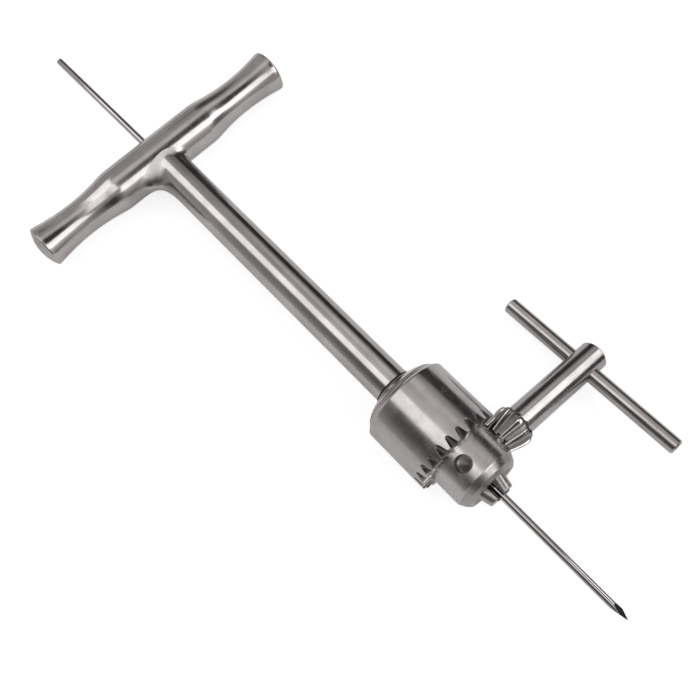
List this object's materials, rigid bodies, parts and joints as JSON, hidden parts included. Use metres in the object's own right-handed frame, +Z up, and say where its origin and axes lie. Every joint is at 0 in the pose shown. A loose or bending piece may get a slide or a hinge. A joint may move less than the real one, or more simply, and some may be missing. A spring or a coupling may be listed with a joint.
{
  "type": "surgical hand drill",
  "caption": "Cannulated T-handle surgical hand drill with a keyed jaw chuck, its chuck key in a pilot hole and a trocar-pointed wire through the whole tool.",
  "frame": {"origin": "where the drill axis crosses the crossbar's axis, the centre of the hand grip", "axes": "+X along the drill axis toward the wire's point, +Y along the crossbar toward the side the key stands on, +Z up and out of the T"},
  "size_m": [0.268, 0.1081, 0.0301],
  "materials": {
    "satin_steel": "satin",
    "chuck_steel": "fine turned",
    "jaw_steel": "ground",
    "key_steel": "bright",
    "wire_steel": "drawn"
  },
  "bodies": {
    "drill": {"crossbar": "satin_steel", "end_cap_left": "satin_steel", "end_cap_right": "satin_steel", "shaft_tube": "satin_steel", "weld_fillet": "satin_steel", "chuck_body": "chuck_steel"},
    "sleeve": {"gear_sleeve": "chuck_steel", "nut_half_upper": "jaw_steel", "nut_half_lower": "jaw_steel"},
    "jaw_1": {"jaw_1": "jaw_steel"},
    "jaw_2": {"jaw_2": "jaw_steel"},
    "jaw_3": {"jaw_3": "jaw_steel"},
    "wire": {"guide_wire": "wire_steel"},
    "key_pilot": {"key_pilot": "key_steel"},
    "key": {"key_pinion": "key_steel", "key_stem": "satin_steel"},
    "tommy": {"tommy_bar": "key_steel"}
  },
  "joints": [
    {"name": "sleeve_turn", "type": "hinge", "parent": "drill", "child": "sleeve", "pos_m": [0.13, 0, 0], "axis": [1, 0, 0], "range_deg": [0, 1575]},
    {"name": "jaw_1_slide", "type": "slide", "parent": "drill", "child": "jaw_1", "axis": [-0.9681, 0.1629, 0.1901], "range_m": [0, 0.007]},
    {"name": "jaw_2_slide", "type": "slide", "parent": "drill", "child": "jaw_2", "axis": [-0.9681, -0.2461, 0.0461], "range_m": [0, 0.007]},
    {"name": "jaw_3_slide", "type": "slide", "parent": "drill", "child": "jaw_3", "axis": [-0.9681, 0.0832, -0.2362], "range_m": [0, 0.007]},
    {"name": "wire_slide", "type": "slide", "parent": "drill", "child": "wire", "axis": [1, 0, 0], "range_m": [-0.045, 0.045]},
    {"name": "key_pull", "type": "slide", "parent": "drill", "child": "key_pilot", "axis": [0, 0.9829, -0.184], "range_m": [0, 0.025]},
    {"name": "key_turn", "type": "hinge", "parent": "key_pilot", "child": "key", "pos_m": [0.1494, 0.01179, -0.00221], "axis": [0, 0.9829, -0.184], "range_deg": [0, 3780]},
    {"name": "tommy_slide", "type": "slide", "parent": "key", "child": "tommy", "axis": [0.999, 0.0083, 0.0446], "range_m": [-0.031, 0.024]}
  ],
  "couplings": [
    {"joint": "jaw_1_slide", "follows": "sleeve_turn", "m_per_rad": 0.00025464},
    {"joint": "jaw_2_slide", "follows": "sleeve_turn", "m_per_rad": 0.00025464},
    {"joint": "jaw_3_slide", "follows": "sleeve_turn", "m_per_rad": 0.00025464},
    {"joint": "key_turn", "follows": "sleeve_turn", "ratio": 2.4}
  ]
}
